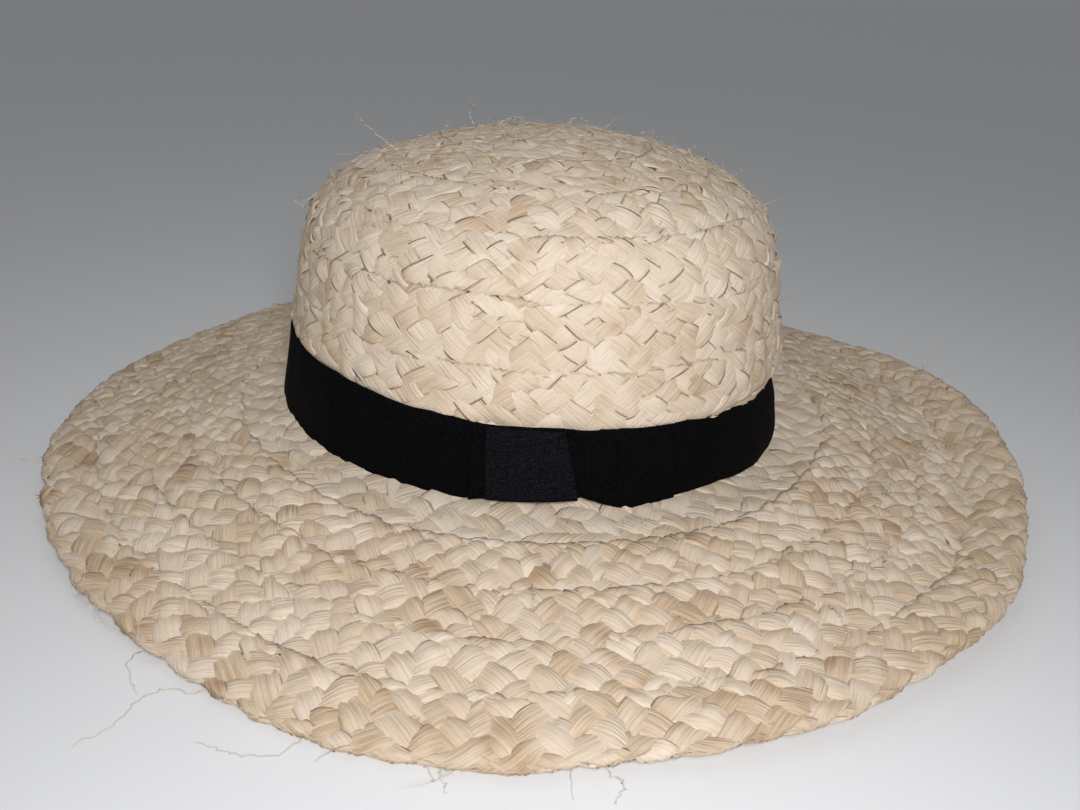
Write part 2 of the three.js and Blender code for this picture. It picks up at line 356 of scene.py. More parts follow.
# Fibres that have come free at the rim and on the crown, the upright tuft at the brim's right and
# the folded strand at its left: points in millimetres
THREADS = [
    [
        (-83, -160, 2), (-90, -166, 1), (-98, -165, 1),
        (-104, -170, 1), (-107, -178, 1), (-114, -186, 1),
    ],
    [(-104, -146, 3), (-109, -151, 2), (-113, -157, 1), (-105, -168, 1)],
    [
        (-52, -171, 3), (-57, -177, 1), (-62, -185, 1),
        (-70, -185, 1), (-77, -184, 1), (-84, -182, 1),
    ],
    [(-123, -134, 6), (-129, -141, 5), (-122, -146, 3), (-112, -147, 2)],
    [(-134, -126, 7), (-139, -132, 7), (-133, -139, 5), (-128, -136, 5)],
    [(-23, -178, 3), (-22, -183, 2), (-20, -188, 1), (-18, -193, 1)],
    [(-25, -178, 3), (-25, -184, 2), (-22, -190, 1)],
    [(5, -180, 3), (8, -184, 2), (12, -183, 1), (13, -193, 1)],
    [(20, -178, 3), (22, -184, 1), (26, -188, 1), (23, -193, 1)],
    [(184, 47, 15), (190, 50, 18), (196, 57, 23)],
    [(186, 34, 14), (192, 36, 16), (199, 40, 18)],
    [(-184, -63, 8), (-190, -66, 8), (-197, -67, 9)],
    [(-55.9, -20.5, 119.1), (-61.1, -18.9, 122.1), (-65.6, -17.3, 125), (-72, -14.6, 130.1)],
    [(-75.9, 44.2, 101.4), (-81.2, 45.8, 104.5), (-88.1, 45, 103), (-94.7, 44.9, 102.7)],
    [(-88.7, 27.6, 97.4), (-91.5, 28.3, 98.7), (-93.7, 28.8, 99.7)],
    [(-45.4, 45, 116.7), (-46.3, 46.2, 118.9), (-45.2, 47.3, 120.8)],
    [(-30.9, 5.8, 125.4), (-32.7, 7.8, 129.1), (-31.7, 9.2, 131.9), (-33, 10.3, 133.8)],
    [
        (-20.6, -0.1, 126.7), (-17.7, 0.9, 128.5), (-14, 1.3, 129.3),
        (-12.4, 0.7, 128.1), (-14.6, 0.2, 127.3),
    ],
    [(-18.1, 49.8, 119.3), (-14.8, 50.9, 121.5), (-11.3, 50.6, 120.9)],
    [
        (4.9, 2.9, 127.5), (6.7, 3.9, 129.3), (10.1, 4.2, 129.8),
        (12.5, 3.5, 128.6), (11.8, 2.8, 127.2),
    ],
    [(19.9, 10.2, 126), (22.1, 11.2, 127.9), (24, 12, 129.3)],
    [(33.5, 11.8, 124.2), (36.5, 12.3, 125.1), (38.5, 11.8, 124.2), (38, 12.9, 126.2)],
    [(39.1, 40.7, 118.3), (43.4, 40.4, 117.8), (45, 41.4, 119.7)],
    [(57.5, 34.5, 114.7), (59, 35.2, 115.9), (59.8, 36, 117.4)],
    [(75.5, 28.9, 105.7), (77.9, 30, 107.8), (80.3, 31, 109.8)],
    [(74.5, -24, 107.7), (77.1, -24.2, 107.4), (78.6, -24.8, 106.2)],
    [(-93.8, -11, 94), (-97.3, -10, 95.8), (-95.9, -9.3, 97.3)],
    [(130.1, -67.2, 13.5), (131.1, -64.9, 17.8), (132.4, -63.1, 21.1), (133.7, -62.1, 23.1)],
    [(131.2, -66.4, 13.4), (130.7, -64.1, 17.7), (130.8, -62.5, 20.6), (131.8, -61.3, 23)],
    [(132.1, -66.9, 13.2), (133.2, -64.9, 17), (133.7, -63.5, 19.6), (132.8, -62.1, 22.2)],
    [(129.5, -66.2, 13.7), (128.9, -64.6, 16.6), (129.8, -63.2, 19.2)],
    [
        (-113.3, -80, 17.1), (-114.1, -77.7, 21.5), (-112.5, -75.6, 25.3),
        (-109.4, -74.9, 26.7), (-108.2, -76.5, 23.7),
    ],
    [
        (-110.6, -80.8, 17.2), (-111.6, -78.6, 21.4), (-110.4, -76.7, 24.9),
        (-108.1, -76, 26.2), (-107.4, -78.1, 22.2),
    ],
]

# Dark fibres lying on the brim: points in millimetres
DARK_THREADS = [
    [(0, -132, 17), (1, -137, 16), (1, -142, 15)],
    [(92, -128, 12), (94, -133, 12), (95, -139, 11)],
    [(-172, -92, 11), (-168, -96, 11), (-163, -98, 12), (-160, -96, 13)],
]

# Straw: colours from pale to dark, and how often its fibres and strips change along a strand,
# across it and from strand to strand
STRAW_COLORS = [
    (0.0, (0.80, 0.685, 0.56)),
    (0.35, (0.72, 0.59, 0.455)),
    (0.62, (0.62, 0.475, 0.33)),
    (0.95, (0.40, 0.25, 0.14)),
]
FIBRE_STRETCH = (60, 1500, 91)
STRIP_STRETCH = (28, 420, 37)
FIBRE_CONTRAST = 1.25
FIBRE_LEVEL = -0.62
STRIP_CONTRAST = 0.35
SHADE_SHARE = 0.8
FIBRE_BUMP = 0.0007
STRIP_BUMP = 0.0006
STRIP_BUMP_STRENGTH = 0.6

# Ribbon: how black the band and the keeper are (the keeper's lighter black is painted sheen),
# their colours as multiples of that from black to lint, and the ribs' pitch, waver and height
BAND_BLACK = 0.0012
KEEPER_BLACK_WITH_PAINTED_SHEEN = 0.0036
RIBBON_COLORS = [
    (0.42, (0.6, 0.58, 0.9)),
    (0.68, (3.4, 3.2, 4.4)),
]
RIB_PITCH = 0.0009
RIB_WAVER = 14.0
RIB_WAVER_SCALE = 260
RIB_BUMP = 0.0002
RIB_BUMP_STRENGTH = 0.7
LINT_SCALE = 1500

# Floor, lights and the camera that was fitted to the photo, with its lens and shift
FLOOR_SIZE = 80
FLOOR_COLORS = [
    (0.0, (0.75, 0.755, 0.77)),
    (1.0, (0.78, 0.785, 0.80)),
]
KEY_PLACE = (0.03, -0.42, 0.28)
KEY_TARGET = (0.0, 0.0, 0.03)
KEY_SIZE = 0.14
KEY_POWER = 1.55
FILL_DIRECTION = (-0.2, 0.5, 1.1)
FILL_STRENGTH = 0.36
FILL_SPREAD = 60
FILL_COLOR = (0.92, 0.96, 1.0)
WORLD_STRENGTH = 0.15
CAMERA_PLACE = (-0.00271, -0.33036, 0.18193)
CAMERA_RIGHT = (1.0, 0.00002, 0.0014)
CAMERA_UP = (-0.00124, 0.47343, 0.88083)
CAMERA_BACK = (-0.00064, -0.88083, 0.47343)
CAMERA_ROLL = 3.15
CAMERA_NEAR = 0.01
LENS_LENGTH = 28.1
LENS_SENSOR = 36
LENS_SHIFT = (0.0074, 0.0070)

SEED = 7
rng = np.random.default_rng(SEED)


def smooth(low, high, value):
    share = np.clip((value - low) / (high - low), 0, 1)
    return share * share * (3 - 2 * share)


def turn_from(angle, middle):
    """Degrees that an angle lies from a middle, between -180 and 180."""
    return (np.degrees(angle) - middle + 180) % 360 - 180


def right_share(angle):
    """0 at the hat's left and 1 at its right, with a smooth step between them."""
    return smooth(-RIGHT_STEP, RIGHT_STEP, np.cos(angle))


# The hat's surfaces, as arrays of angle, distance and height give arrays of points

def spline(rows, place, closed):
    """Uniform Catmull-Rom curve through the rows of a table."""
    table = np.asarray(rows, float)
    count = len(table)
    place = np.asarray(place, float)
    first = np.floor(place).astype(int)
    if not closed:
        first = np.clip(first, 0, count - 2)
    part = (place - first)[..., None]

    def row(offset):
        index = first + offset
        return table[index % count] if closed else table[np.clip(index, 0, count - 1)]

    before, here, after, later = row(-1), row(0), row(1), row(2)
    slope_here = (after - before) / 2
    slope_after = (later - here) / 2
    cubic = 2 * here - 2 * after + slope_here + slope_after
    square = -3 * here + 3 * after - 2 * slope_here - slope_after
    return ((cubic * part + square) * part + slope_here) * part + here


def oval(angle, radius):
    spread = OVAL_SPREAD * np.minimum(radius / BAND_RADIUS, 1)
    return (radius + spread) * np.cos(angle), (radius - spread) * np.sin(angle)


def seat_tilt(angle):
    return SEAT_TILT_BACK * np.sin(angle) - SEAT_TILT_LEFT * np.cos(angle)


def dent_push(angle, share):
    push = 0
    for middle, half_turn, height, spread, amount in CROWN_DENTS:
        offset = angle - math.radians(middle)
        turn = np.arctan2(np.sin(offset), np.cos(offset)) / math.radians(half_turn)
        upward = (share - height) / spread
        push = push + amount * np.exp(-turn * turn - upward * upward)
    return push * DENT_DEPTH


def crown_point(angle, radius, height):
    share = np.clip(height / CROWN_HEIGHT, 0, 1)
    dented = radius + dent_push(angle, share) * np.minimum(radius / CROWN_RADIUS, 1)
    x, y = oval(angle, dented)
    foot = SEAT_HEIGHT + STRAW_WALL + CLEARANCE
    settle = seat_tilt(angle) * np.maximum(1 - share / LEVEL_SHARE, 0)
    x = x - RIM_SHIFT_SIDE + CROWN_LEAN * share
    y = y + RIM_SHIFT_FRONT
    return np.stack([x, y, foot + settle + height], -1)


def brim_point(angle, radius, level):
    share = np.clip((radius - BAND_RADIUS) / BRIM_WIDTH, 0, 1)
    turn = np.mod(angle / (2 * math.pi), 1)
    section = spline(BRIM_SECTIONS, turn * len(BRIM_SECTIONS), True)
    edge = section[..., 0] * RIM_RISE
    dip = section[..., 1] * BRIM_DIP * np.sin(math.pi * share**DIP_PLACE)
    seat = SEAT_HEIGHT + seat_tilt(angle)
    places, outward, upward = np.array(RIM_STRAYS).T
    stray, raised = (
        np.interp(np.degrees(angle), places, values, period=360) / 1000 * share**STRAY_GROWTH
        for values in (outward, upward)
    )
    around = turn_from(angle, GROOVE_ANGLE) / GROOVE_TURN
    across = (share - GROOVE_SHARE) / GROOVE_SPREAD
    dip = dip + GROOVE_DEPTH * np.exp(-around**2 - across**2)
    x, y = oval(angle, radius + stray)
    x = x - RIM_SHIFT_SIDE * (1 - share)
    y = y + RIM_SHIFT_FRONT * (1 - share)
    z = np.maximum(seat + (edge - seat) * share - dip + level + raised, FLOOR_GAP)
    return np.stack([x, y, z], -1)


SECTION_SAMPLES = 900
section_place = np.linspace(0, len(CROWN_SECTIONS) - 1, SECTION_SAMPLES)
section_size = np.array([CROWN_RADIUS, CROWN_HEIGHT])
section_points = spline(CROWN_SECTIONS, section_place, False) * section_size
section_steps = np.diff(section_points, axis=0)
section_arc = np.append(0, np.cumsum(np.linalg.norm(section_steps, axis=1)))
section_slope = np.gradient(section_points, section_arc, axis=0)
CROWN_ARC = section_arc[-1]


def on_crown(angle, arc, out):
    """A point of the crown's wall, by its distance from the foot and its height off the wall."""
    inside = np.clip(arc, 0, CROWN_ARC)
    radius, height, along, upward = (
        np.interp(inside, section_arc, values)
        for values in (*section_points.T, *section_slope.T)
    )
    height = height + np.minimum(arc, 0)
    return crown_point(angle, np.maximum(radius + upward * out, 0), height - along * out)


def side_squeeze(angle):
    """How far the band presses the straw in at the hat's two sides."""
    return np.cos(angle) ** 2 * (SIDE_SQUEEZE + RIGHT_SQUEEZE * right_share(angle))


def on_bend(angle, down, out):
    """The row that turns from the crown's wall out onto the brim, from its upper edge."""
    drop = BEND_DROP - BEND_RADIUS
    quarter = BEND_RADIUS * math.pi / 2
    turn = np.clip((down - drop) / BEND_RADIUS, 0, math.pi / 2)
    wall = CROWN_RADIUS + CROWN_SINK - RIBBON_SQUEEZE
    radius = wall + BEND_RADIUS * (1 - np.cos(turn)) + np.maximum(down - drop - quarter, 0)
    radius = radius - side_squeeze(angle) * (1 - smooth(*BEND_SQUEEZE_STEP, down))
    level = BEND_LEVEL + BEND_RADIUS * (1 - np.sin(turn)) + np.maximum(drop - down, 0)
    outward = smooth(*BEND_LEVEL_STEP, radius)
    around = turn_from(angle, FOOT_DIP_ANGLE) / FOOT_DIP_TURN
    level = level + (BEND_END_LEVEL - BEND_LEVEL) * outward
    level = level - FOOT_DIP * np.exp(-around**2) * (1 - outward)
    return brim_point(angle, radius + np.cos(turn) * out, level + np.sin(turn) * out)


# Meshes from arrays

def mesh_object(name, points, faces, material, attributes=()):
    """A smooth mesh object from arrays of points and four-cornered faces."""
    mesh = bpy.data.meshes.new(name)
    mesh.vertices.add(len(points))
    mesh.vertices.foreach_set("co", np.ascontiguousarray(points, np.float32).ravel())
    corners = faces.shape[1]
    mesh.loops.add(faces.size)
    mesh.loops.foreach_set("vertex_index", np.ascontiguousarray(faces, np.int32).ravel())
    mesh.polygons.add(len(faces))
    mesh.polygons.foreach_set("loop_start", np.arange(0, faces.size, corners, dtype=np.int32))
    mesh.polygons.foreach_set("use_smooth", np.ones(len(faces), bool))
    for label, values in attributes:
        kind = "FLOAT" if values.ndim == 1 else "FLOAT_VECTOR"
        attribute = mesh.attributes.new(label, kind, "POINT")
        field = "value" if values.ndim == 1 else "vector"
        attribute.data.foreach_set(field, np.ascontiguousarray(values, np.float32).ravel())
    mesh.update(calc_edges=True)
    mesh.validate()
    mesh.materials.append(material)
    piece = bpy.data.objects.new(name, mesh)
    bpy.context.scene.collection.objects.link(piece)
    return piece


def loop_faces(steps, sides, first=0):
    """Faces of a tube that closes on itself, with the given number of steps and sides."""
    step = np.arange(steps)[:, None]
    side = np.arange(sides)[None, :]
    here = step * sides + side
    beside = step * sides + (side + 1) % sides
    ahead = (step + 1) % steps * sides + side
    ahead_beside = (step + 1) % steps * sides + (side + 1) % sides
    return np.stack([here, beside, ahead_beside, ahead], -1).reshape(-1, 4) + first


def tube_faces(rings, sides, first=0):
    """Faces of a tube that is open at both ends."""
    return loop_faces(rings, sides, first)[: (rings - 1) * sides]


def closed(rings):
    """The rings with the first one again at the end."""
    return np.concatenate([rings, rings[:1]])


def ripple(share, cycles, parts=6):
    """Smooth random wave that closes on itself after share goes from 0 to 1."""
    low = max(1, int(round(cycles * 0.5)))
    high = max(low + 1, int(round(cycles * 1.5)))
    waves = rng.integers(low, high + 1, parts)
    phases = rng.random(parts)
    total = sum(np.cos(2 * math.pi * (w * share + p)) for w, p in zip(waves, phases))
    return total / math.sqrt(parts / 2)


# Cross-section of a strand: place across it and height, as shares of half its width and thickness
STRAND_SECTION = np.array([
    (-1.0, 0.0),
    (-0.8, 0.66),
    (-0.42, 0.93),
    (0.0, 1.0),
    (0.42, 0.93),
    (0.8, 0.66),
    (1.0, 0.0),
    (0.8, -0.66),
    (0.42, -0.93),
    (0.0, -1.0),
    (-0.42, -0.93),
    (-0.8, -0.66),
])


def strand_tint(tone, uneven):
    """How dark a strand is along its length; uneven gives random waves of a size and length."""
    tint = tone + uneven(*BROAD_TINT)
    tint = tint + uneven(*CLOSE_TINT) + STRAND_TINT * rng.standard_normal()
    return tint + PATCH_TINT * smooth(*PATCH_STEP, uneven(*PATCH_WAVES))


def plait_row(name, surface, width, middle_length, spacing, habit):
    """One ring of flat plait. Each fibre of a strand turns back at the row's very edge."""
    periods = max(2, round(middle_length / spacing / STRANDS))
    steps = periods * STEPS_PER_PERIOD
    share = np.arange(steps) / steps
    period = middle_length / periods
    folds = habit.folds
    slope = width * folds * math.pi / math.asin(folds) / period
    lean = slope * slope / (1 + slope * slope)
    turn = rng.random() * 2 * math.pi
    place, height = STRAND_SECTION.T
    stride = period / STEPS_PER_PERIOD * math.sqrt(1 + slope * slope)
    travelled = stride * np.arange(steps + 1)[:, None]

    def uneven(amount, wavelength):
        return amount * ripple(share, middle_length / wavelength)

    wander = uneven(*ROW_WANDER)
    heave = uneven(*ROW_HEAVE)
    points, weave, tints, faces = [], [], [], []
    for strand in range(STRANDS):
        phase = periods * share + strand / STRANDS
        phase = phase + CROSSING_STRAY * ripple(share, periods * CROSSING_WAVES)
        half = 1 + uneven(*STRAND_BREADTH)
        shift = period / STRANDS / 2 * habit.fullness * half[:, None] * place
        own = 2 * math.pi * (phase[:, None] + shift * (1 - lean) / period)
        swing = folds * np.cos(own)
        across = 0.5 - np.arcsin(swing) / (2 * math.asin(folds))
        heading = np.sin(own) / np.sqrt(1 - swing * swing)
        fold = 1 - np.abs(heading)
        across = width * across + habit.scallop * fold * (1 - place**2) * np.sign(across - 0.5)
        across = across + uneven(*STRAND_WANDER)[:, None]
        over = -heading * np.cos(2 * STRANDS * math.pi * phase)[:, None]
        ridge = 1 + np.stack([uneven(*STRAND_RIDGES) for _ in place], 1)
        thinning = FOLD_THICKNESS + (1 - FOLD_THICKNESS) * np.abs(heading)
        side = np.where(heading < 0, -1, 1) * thinning
        rise = habit.thickness / 2 * (CROSSING * over + side * height * ridge)
        roll = uneven(*STRAND_ROLL)[:, None] * shift
        lift = habit.lap_lift * (0.5 - across / width)
        level = lift + rise + roll + heave[:, None]
        angle = 2 * math.pi * (share[:, None] - shift * lean / middle_length) + turn
        points.append(closed(surface(angle, across + wander[:, None], level)).reshape(-1, 3))
        sideways = closed(shift) * math.sqrt(lean)
        numbered = np.broadcast_arrays(travelled, sideways, rng.random())
        weave.append(np.stack(numbered, -1).reshape(-1, 3))
        tints.append(np.repeat(closed(strand_tint(habit.tone, uneven)), len(place)))
        first = strand * (steps + 1) * len(place)
        faces.append(tube_faces(steps + 1, len(place), first))
    attributes = [("weave", np.concatenate(weave)), ("tint", np.concatenate(tints))]
    return mesh_object(
        name, np.concatenate(points), np.concatenate(faces), straw, attributes
    )


# Materials

def new_material(name):
    material = bpy.data.materials.new(name)
    material.use_nodes = True
    tree = material.node_tree
    return material, tree, tree.nodes["Principled BSDF"]


def feed(tree, sockets, values):
    """Sets each named socket to a number or colour, or links another node's output to it."""
    for label, value in values.items():
        if isinstance(value, bpy.types.NodeSocket):
            tree.links.new(value, sockets[label])
        else:
            sockets[label].default_value = value


def add_node(tree, kind, inputs, **settings):
    node = tree.nodes.new(f"ShaderNode{kind}")
    for label, value in settings.items():
        setattr(node, label, value)
    feed(tree, node.inputs, inputs)
    return node


def math_node(tree, operation, *values):
    return add_node(tree, "Math", dict(enumerate(values)), operation=operation).outputs[0]


def noise_node(tree, **inputs):
    return add_node(tree, "TexNoise", inputs).outputs["Fac"]


def bump_node(tree, **inputs):
    return add_node(tree, "Bump", inputs).outputs[0]


def attribute_node(tree, label):
    return add_node(tree, "Attribute", {}, attribute_name=label)


def stretched_noise(tree, vector, stretch, **inputs):
    """Noise that changes at three rates: along a strand, across it and from strand to strand."""
    scaled = add_node(tree, "VectorMath", {0: vector, 1: stretch}, operation="MULTIPLY")
    return noise_node(tree, Vector=scaled.outputs[0], Scale=1, **inputs)


def ramp_node(tree, value, stops):
    """Colours by a value; stops are places and colours, from the lowest place to the highest."""
    node = add_node(tree, "ValToRGB", {0: value})
    elements = node.color_ramp.elements
    for element, (place, color) in zip(elements, (stops[0], stops[-1])):
        element.position = place
        element.color = (*color, 1)
    for place, color in stops[1:-1]:
        elements.new(place).color = (*color, 1)
    return node.outputs[0]


def straw_material():
    """Pale raffia: fine lines along each strand, strands of uneven tan, soft sheen of dry leaf."""
    material, tree, shader = new_material("straw")
    weave = attribute_node(tree, "weave").outputs["Vector"]
    tint = attribute_node(tree, "tint").outputs["Fac"]
    fibres = stretched_noise(tree, weave, FIBRE_STRETCH, Detail=4, Roughness=0.62)
    strips = stretched_noise(tree, weave, STRIP_STRETCH, Detail=1)
    broad = math_node(tree, "MULTIPLY_ADD", strips, STRIP_CONTRAST, -STRIP_CONTRAST / 2)
    fine = math_node(tree, "MULTIPLY_ADD", fibres, FIBRE_CONTRAST, FIBRE_LEVEL)
    shade = math_node(tree, "ADD", math_node(tree, "ADD", tint, broad), fine)
    shade = math_node(tree, "MULTIPLY", shade, SHADE_SHARE)
    bump = bump_node(tree, Strength=1.0, Distance=FIBRE_BUMP, Height=fibres)
    bump = bump_node(
        tree, Strength=STRIP_BUMP_STRENGTH, Distance=STRIP_BUMP, Height=strips, Normal=bump
    )
    feed(tree, shader.inputs, {
        "Base Color": ramp_node(tree, shade, STRAW_COLORS),
        "Normal": bump,
        "Roughness": 0.55,
        "Specular IOR Level": 0.4,
    })
    return material


def ribbon_material(name, black, rib_axis):
    """Black grosgrain: fine ribs one way, with a little lint-grey variation."""
    material, tree, shader = new_material(name)
    weave = attribute_node(tree, "weave").outputs["Vector"]
    along = add_node(tree, "SeparateXYZ", {0: weave}).outputs[rib_axis]
    waver = noise_node(tree, Vector=weave, Scale=RIB_WAVER_SCALE, Detail=2)
    ribs = math_node(tree, "MULTIPLY", along, 2 * math.pi / RIB_PITCH)
    ribs = math_node(tree, "MULTIPLY_ADD", waver, RIB_WAVER, ribs)
    ribs = math_node(tree, "SINE", ribs)
    coordinates = add_node(tree, "TexCoord", {}).outputs["Object"]
    lint = noise_node(tree, Vector=coordinates, Scale=LINT_SCALE, Detail=4)
    stops = [(place, [black * part for part in parts]) for place, parts in RIBBON_COLORS]
    feed(tree, shader.inputs, {
        "Base Color": ramp_node(tree, lint, stops),
        "Normal": bump_node(tree, Strength=RIB_BUMP_STRENGTH, Distance=RIB_BUMP, Height=ribs),
        "Roughness": 0.8,
        "Specular IOR Level": 0.06,
    })
    return material


straw = straw_material()
ribbon = ribbon_material("ribbon", BAND_BLACK, "X")
# The keeper's ribbon is the band's ribbon with a lighter black, which is painted sheen
keeper_ribbon = ribbon_material("keeper_ribbon", KEEPER_BLACK_WITH_PAINTED_SHEEN, "Y")


# Rows of plait: the crown's from its tip down, the bend, then the brim's out to the rim

def wavy(angle, size):
    """Small waves of a ribbon's edge, the same for each layer of it."""
    return size * sum(part * np.sin(waves * angle + phase) for part, waves, phase in EDGE_WAVES)


def band_edges(angle):
    """Heights of the band's lower and upper edge over the crown's foot."""
    places, lower, upper = np.array(BAND_EDGES).T
    turn = np.degrees(angle)
    low = RIBBON_LIFT + np.interp(turn, places, lower, period=360) / 1000
    high = RIBBON_LIFT + RIBBON_HEIGHT + np.interp(turn, places, upper, period=360) / 1000
    return low + wavy(angle, LOWER_WAVE), high + wavy(angle + 1, UPPER_WAVE)


def slump(angle, arc):
    """How far the crown's top has sunk in."""
    return (TOP_SLUMP + LEFT_SLUMP * np.maximum(-np.cos(angle), 0)) * smooth(*SLUMP_STEP, arc)


def crown_surface(top):
    """The woven crown's wall, by the distance down from a row's upper edge."""
    def surface(angle, down, out):
        arc = top - down
        aside = np.cos(angle) ** 2
        right = aside * right_share(angle)
        edge = band_edges(angle)[1]
        start, end = (
            edge + everywhere + at_sides * aside + at_right * right
            for everywhere, at_sides, at_right in (FREE_START, FREE_END)
        )
        above = smooth(start, end, arc)
        squeeze = (RIBBON_SQUEEZE + side_squeeze(angle)) * (1 - above)
        swell = (SWELL + FRONT_SWELL * (1 - aside)) * above * smooth(*SWELL_STEP, arc)
        return on_crown(angle, arc, CROWN_SINK - slump(angle, arc) - squeeze + swell + out)
    return surface


def brim_surface(inner):
    """The woven brim, by the distance out from a radius."""
    def surface(angle, down, out):
        return brim_point(angle, inner + down, BRIM_LEVEL + out)
    return surface


crown_rows = []
seams = np.arange(CROWN_FIRST_SEAM + CROWN_ROW_PITCH, CROWN_ARC - CROWN_TIP_GAP, CROWN_ROW_PITCH)
for number, top in enumerate([CROWN_ARC, *seams[::-1]]):
    row_width = CROWN_ROW_WIDTH
    if number == 0:
        row_width = CROWN_ARC - seams[-1] + CROWN_ROW_WIDTH - CROWN_ROW_PITCH
    middle = np.interp(top - row_width / 2, section_arc, section_points[:, 0])
    crown_rows.append(plait_row(
        f"crown_row_{number + 1}", crown_surface(top), row_width,
        2 * math.pi * middle, CROWN_SPACING, CROWN_HABIT,
    ))

bend_middle = BAND_RADIUS + BEND_WIDTH / 2 - BEND_DROP
bend_row = plait_row(
    "bend_row", on_bend, BEND_WIDTH,
    2 * math.pi * bend_middle, BEND_SPACING, BEND_HABIT,
)

brim_rows = []
for number, (inner_share, width_share, spacing, folds, scallop) in enumerate(BRIM_ROWS):
    inner = BAND_RADIUS + inner_share * BRIM_WIDTH
    row_width = width_share * BRIM_WIDTH
    habit = Habit(
        BRIM_STRAND_THICKNESS, BRIM_FULLNESS, BRIM_TONE, BRIM_LAP_LIFT, folds, scallop
    )
    brim_rows.append(plait_row(
        f"brim_row_{number + 1}", brim_surface(inner), row_width,
        2 * math.pi * (inner + row_width / 2), spacing, habit,
    ))


# Loose fibres of the straw: a fine fuzz all over, and the longer threads that have come free

def thin_tubes(name, paths, radii, tints):
    """One mesh of tapered threads; paths is an array of threads, points along each, and x y z."""
    count, rings, _ = paths.shape
    along = np.gradient(paths, axis=1)
    along /= np.maximum(np.linalg.norm(along, axis=-1, keepdims=True), 1e-9)
    guide = np.where(np.abs(along[..., 2:]) > 0.9, (1.0, 0, 0), (0, 0, 1.0))
    across = np.cross(along, guide)
    across /= np.linalg.norm(across, axis=-1, keepdims=True)
    other = np.cross(along, across)
    taper = 1 - THREAD_TAPER * np.linspace(0, 1, rings)
    size = (radii[:, None] * taper)[..., None, None]
    turn = (np.arange(THREAD_SIDES) * 2 * math.pi / THREAD_SIDES)[:, None]
    ring = np.cos(turn) * across[..., None, :] + np.sin(turn) * other[..., None, :]
    points = (paths[..., None, :] + size * ring).reshape(-1, 3)
    one = tube_faces(rings, THREAD_SIDES)
    starts = np.arange(count)[:, None, None] * rings * THREAD_SIDES
    faces = (one[None] + starts).reshape(-1, 4)
    travelled = np.linspace(0, THREAD_LENGTH, rings)[None, :, None]
    travelled = np.broadcast_to(travelled, (count, rings, THREAD_SIDES))
    token = np.broadcast_to(rng.random(count)[:, None, None], travelled.shape)
    weave = np.stack([travelled, 0 * travelled, token], -1).reshape(-1, 3)
    shade = np.repeat(tints, rings * THREAD_SIDES)
    return mesh_object(name, points, faces, straw, [("weave", weave), ("tint", shade)])


def fuzz(name, surface, angles, downs, reach, rise, size, tints):
    """Short fibres that start on a surface, run along it and lift off it in a curve."""
    count = len(angles)
    heading = rng.random(count) * 2 * math.pi
    curl = FUZZ_CURL * rng.standard_normal(count)
    part = np.linspace(0, 1, FUZZ_STEPS + 1)[None, :]
    way = heading[:, None] + curl[:, None] * part
    step = (reach / FUZZ_STEPS)[:, None]
    down = downs[:, None] + np.cumsum(step * np.sin(way), 1)
    from_axis = np.linalg.norm(surface(angles, downs, 0 * downs)[:, :2], axis=-1)
    turn_radius = np.maximum(from_axis, FUZZ_LEAST_TURN)
    angle = angles[:, None] + np.cumsum(step * np.cos(way), 1) / turn_radius[:, None]
    out = FUZZ_START + rise[:, None] * part ** FUZZ_LIFT
    return thin_tubes(name, surface(angle, down, out), size, tints)


def fuzz_values(count, rise):
    """Random lengths, lifts, radii and tints of fibres; a few fibres are dark."""
    reaches = FUZZ_REACH * np.exp(REACH_SPREAD * rng.standard_normal(count))
    rises = rise * rng.gamma(RISE_SHAPE, 1.0, count)
    sizes = FUZZ_RADIUS * np.exp(SIZE_SPREAD * rng.standard_normal(count))
    tints = FUZZ_TINT + FUZZ_TINT_SPREAD * rng.random(count)
    tints = tints + FUZZ_TINT_SPREAD * (rng.random(count) > PALE_SHARE)
    return reaches, rises, sizes, tints


def crown_fuzz_surface(angle, up, out):
    return on_crown(angle, up, CROWN_SINK - slump(angle, up) + out)


angles = rng.random(CROWN_FUZZ) * 2 * math.pi
spread = rng.random(CROWN_FUZZ) ** CROWN_FUZZ_CROWDING
crown_fuzz = fuzz(
    "crown_fuzz", crown_fuzz_surface, angles,
    CROWN_FUZZ_FOOT + (CROWN_ARC - CROWN_FUZZ_SPARE) * spread,
    *fuzz_values(CROWN_FUZZ, CROWN_FUZZ_RISE),
)
inner, outer = BAND_RADIUS + BRIM_FUZZ_GAP, BAND_RADIUS + BRIM_WIDTH
radii = np.sqrt(rng.uniform(inner ** 2, outer ** 2, BRIM_FUZZ))
angles = rng.random(BRIM_FUZZ) * 2 * math.pi
brim_fuzz = fuzz(
    "brim_fuzz", brim_surface(0), angles, radii, *fuzz_values(BRIM_FUZZ, BRIM_FUZZ_RISE)
)


def threads(name, rows, radius, tint):
    """Single threads along smooth paths through short rows of points in millimetres."""
    paths = []
    for points in rows:
        place = np.linspace(0, len(points) - 1, THREAD_RINGS)
        path = spline(points, place, False) / 1000
        waver = THREAD_WAVER * rng.standard_normal((THREAD_RINGS - 2, 3))
        path[1:-1] += waver * (1, 1, THREAD_FLATNESS)
        path[:, 2] = np.maximum(path[:, 2], THREAD_FLOOR)
        paths.append(path)
    count = len(rows)
    return thin_tubes(name, np.array(paths), np.full(count, radius), np.full(count, tint))


loose_threads = threads("loose_threads", THREADS, THREAD_RADIUS, THREAD_TINT)
dark_threads = threads("dark_threads", DARK_THREADS, DARK_THREAD_RADIUS, DARK_THREAD_TINT)


# Ribbon band, its lap and the keeper

